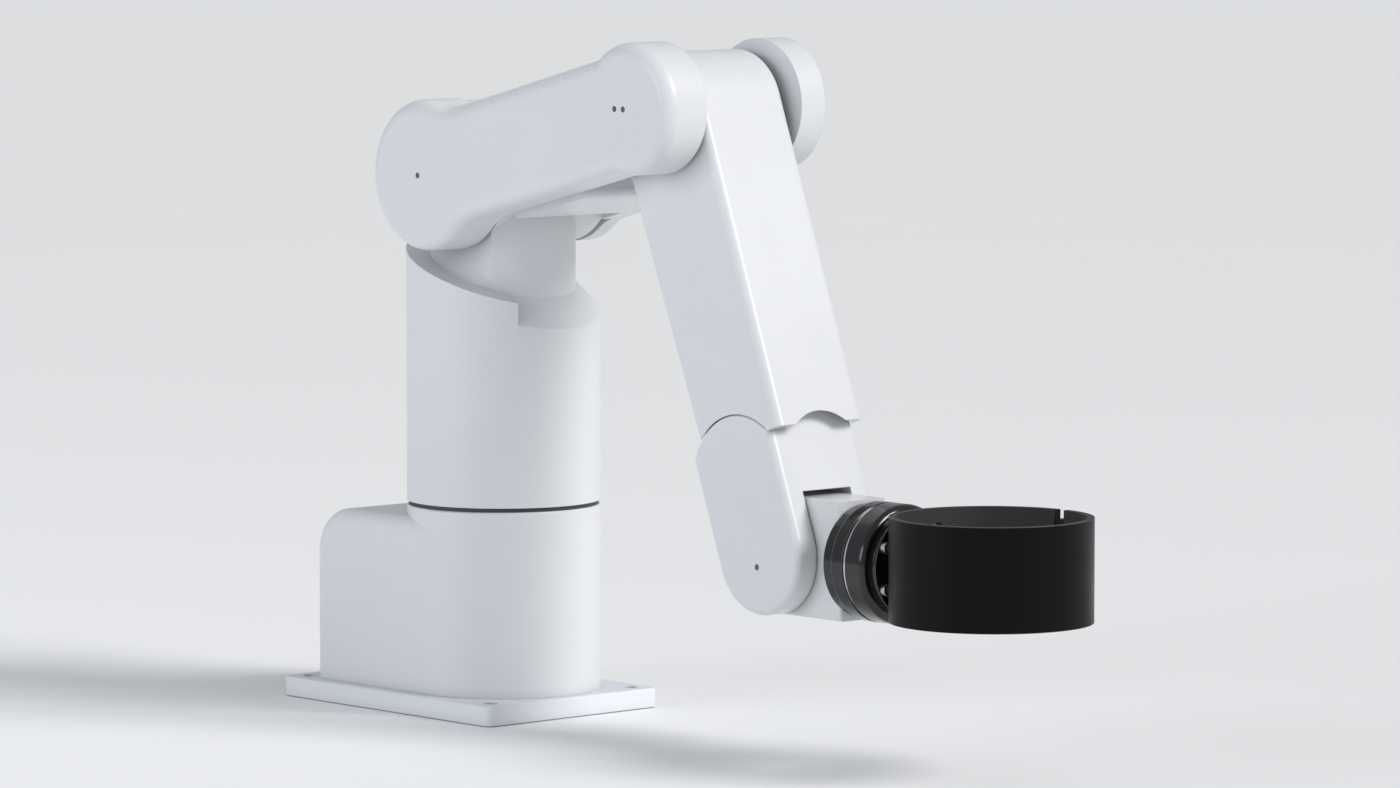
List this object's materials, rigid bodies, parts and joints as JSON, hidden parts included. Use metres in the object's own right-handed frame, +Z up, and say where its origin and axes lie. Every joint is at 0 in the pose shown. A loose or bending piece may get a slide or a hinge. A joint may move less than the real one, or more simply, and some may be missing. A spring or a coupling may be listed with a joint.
{
  "type": "robot arm",
  "caption": "Small white articulated robot arm on a rectangular base plate, with a forked upper arm, a force sensor and a black cuff clamp at its wrist.",
  "frame": {"origin": "on the base plate's underside, on the axis of the first joint", "axes": "+X the way the arm points in the stored pose, +Z up, +Y to the arm's left"},
  "size_m": [0.6185, 0.1425, 0.4155],
  "materials": {
    "white_paint": "semi-gloss white powder coat",
    "plate_paint": "semi-gloss white powder coat, machined edges",
    "tilt_paint": "semi-gloss white powder coat",
    "cap_plastic": "fine-textured white moulding",
    "plug_plastic": "dark grey moulded plug",
    "dark_panel": "fine-textured dark grey paint",
    "socket_metal": "satin zinc-nickel look",
    "brass_fitting": "nickel-free turned brass",
    "motor_shell": "black coated motor body",
    "reducer_steel": "ground and turned steel",
    "seal_rubber": "matt nitrile lip seal",
    "screw_steel": "zinc-plated socket screws",
    "bare_aluminium": "turned, clear anodised",
    "black_anodised": "satin to gloss black anodising",
    "cuff_black": "satin black powder coat",
    "liner_rubber": "matt ribbed rubber"
  },
  "bodies": {
    "base": {"base_plate": "plate_paint", "base_housing": "white_paint", "housing_screws": "screw_steel", "rear_panel": "dark_panel", "panel_screws": "screw_steel", "power_socket": "socket_metal", "signal_socket": "socket_metal", "air_fittings": "brass_fitting", "earth_stud": "brass_fitting", "j1_motor": "motor_shell", "j1_reducer": "reducer_steel", "j1_seal": "seal_rubber"},
    "column": {"column_shell": "white_paint", "j1_output_hub": "reducer_steel", "j2_seal": "seal_rubber", "j2_reducer": "reducer_steel", "j2_motor": "motor_shell", "barrel_end_cover": "bare_aluminium"},
    "upper_arm": {"upper_arm_casting": "white_paint", "yoke_casting": "white_paint", "yoke_screws": "screw_steel", "axis_plugs": "plug_plastic", "shoulder_bearing": "reducer_steel", "shoulder_end_cap": "cap_plastic", "shoulder_cap_screws": "screw_steel", "elbow_bearing": "reducer_steel", "elbow_end_cap": "cap_plastic", "elbow_cap_screws": "screw_steel", "j2_output_hub": "reducer_steel", "j3_output_hub": "reducer_steel"},
    "forearm": {"forearm_casting": "white_paint", "j3_seal": "seal_rubber", "j3_reducer": "reducer_steel", "j3_motor": "motor_shell", "elbow_cover": "bare_aluminium", "j4_motor": "motor_shell", "j4_reducer": "reducer_steel"},
    "wrist": {"wrist_housing": "white_paint", "wrist_plug": "plug_plastic", "j4_output_hub": "reducer_steel", "j5_drive_unit": "motor_shell", "wrist_side_cover": "cap_plastic", "side_cover_screws": "screw_steel", "j5_bearing": "reducer_steel"},
    "tilt": {"tilt_body": "tilt_paint", "j5_pivot_pin": "reducer_steel", "j5_output_hub": "reducer_steel", "j6_drive_unit": "motor_shell"},
    "tool": {"tool_flange": "black_anodised", "force_sensor_body": "black_anodised", "force_sensor_ring": "bare_aluminium", "force_sensor_cap": "black_anodised", "cuff_bracket": "black_anodised", "bracket_screws": "screw_steel", "cuff_band": "cuff_black", "cuff_liner": "liner_rubber", "saddle_screws": "screw_steel", "clamp_screws": "screw_steel", "clamp_nuts": "screw_steel"}
  },
  "joints": [
    {"name": "j1_turn", "type": "hinge", "parent": "base", "child": "column", "pos_m": [0, 0, 0.127], "axis": [0, 0, 1], "range_deg": [-170, 170]},
    {"name": "j2_shoulder", "type": "hinge", "parent": "column", "child": "upper_arm", "pos_m": [0, 0, 0.33], "axis": [0, 1, 0], "range_deg": [-95, 10]},
    {"name": "j3_elbow", "type": "hinge", "parent": "upper_arm", "child": "forearm", "pos_m": [0.188, 0, 0.3765], "axis": [0, -1, 0], "range_deg": [-20, 160]},
    {"name": "j4_roll", "type": "hinge", "parent": "forearm", "child": "wrist", "pos_m": [0.267, 0, 0.118], "axis": [0.3469, 0, -0.9379], "range_deg": [-100, 100]},
    {"name": "j5_bend", "type": "hinge", "parent": "wrist", "child": "tilt", "pos_m": [0.267, 0, 0.118], "axis": [0, -1, 0], "range_deg": [-140, 5]},
    {"name": "j6_flange", "type": "hinge", "parent": "tilt", "child": "tool", "pos_m": [0.322, 0, 0.118], "axis": [1, 0, 0], "range_deg": [-175, 175]}
  ]
}
